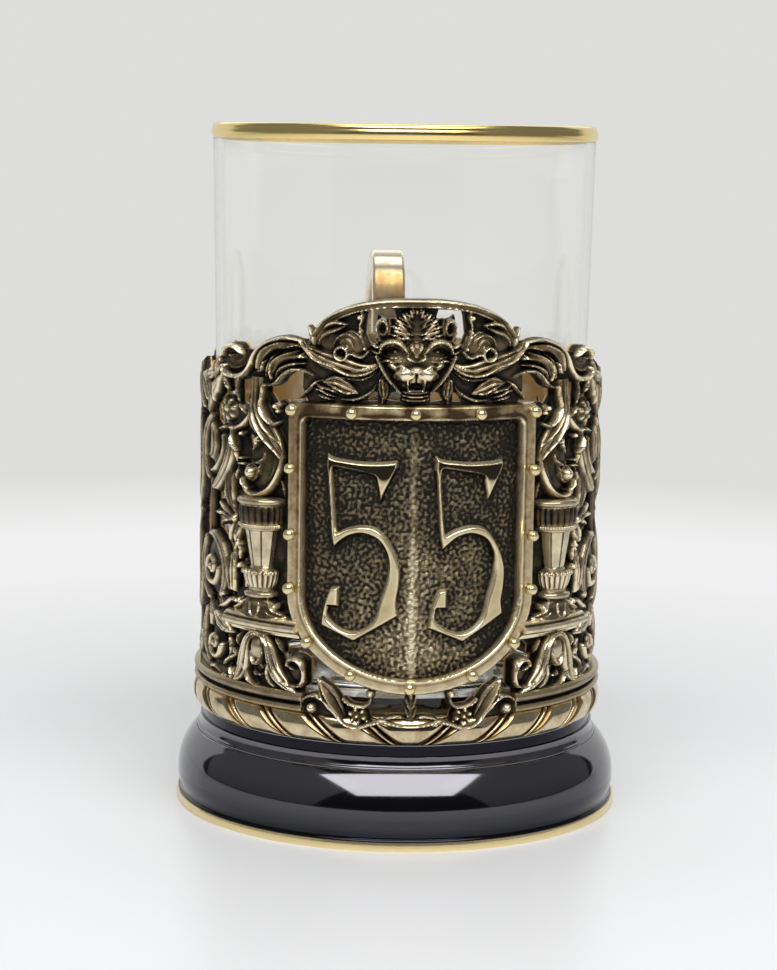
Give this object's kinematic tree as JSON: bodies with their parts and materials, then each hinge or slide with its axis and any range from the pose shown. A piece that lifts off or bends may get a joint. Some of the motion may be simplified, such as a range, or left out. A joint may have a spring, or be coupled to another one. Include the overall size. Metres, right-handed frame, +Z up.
{
  "type": "podstakannik tea glass holder",
  "caption": "Openwork brass tea glass holder with shield, lion mask crest, urns, dark turned foot and back handle, carrying a gilt-rimmed tea glass that lifts out.",
  "frame": {"origin": "on the holder's axis, in the plane that the foot stands on", "axes": "+Z up, -Y towards the front with the shield, +Y towards the handle, +X to the right seen from the front"},
  "size_m": [0.0824, 0.12, 0.1251],
  "materials": {
    "antique_brass": "cast, darkened in the recesses and polished on the high spots",
    "polished_brass": "polished",
    "dark_field": "stippled and blackened, brass on the high spots",
    "black_nickel": "polished black nickel",
    "steel": "bright zinc",
    "clear_glass": "clear, polished",
    "gilt": "burnished gilt band"
  },
  "bodies": {
    "holder": {"foot": "black_nickel", "foot_edge": "polished_brass", "seat_plate": "antique_brass", "centre_bolt": "steel", "bolt_washer": "steel", "bolt_nut": "steel", "rope_collar": "antique_brass", "lower_moulding": "antique_brass", "shield_frame": "antique_brass", "shield_field": "dark_field", "shield_rivets": "polished_brass", "garland": "antique_brass", "crest_arch": "antique_brass", "lion_mask": "antique_brass", "crest_scroll_left": "antique_brass", "crest_scroll_right": "antique_brass", "leaf_left": "antique_brass", "leaf_right": "antique_brass", "stem_scroll_left": "antique_brass", "stem_scroll_right": "antique_brass", "urn_left": "antique_brass", "urn_right": "antique_brass", "plinth_left": "antique_brass", "plinth_right": "antique_brass", "console_left": "antique_brass", "console_right": "antique_brass", "side_panel_left": "antique_brass", "side_panel_right": "antique_brass", "rear_panel_left": "antique_brass", "rear_panel_right": "antique_brass", "back_strap": "antique_brass", "handle": "polished_brass", "handle_screws": "polished_brass"},
    "glass": {"tumbler": "clear_glass", "gilt_rim": "gilt"}
  },
  "joints": [
    {"name": "glass_lift", "type": "slide", "parent": "holder", "child": "glass", "axis": [0, 0, 1], "range_m": [0, 0.09]}
  ]
}
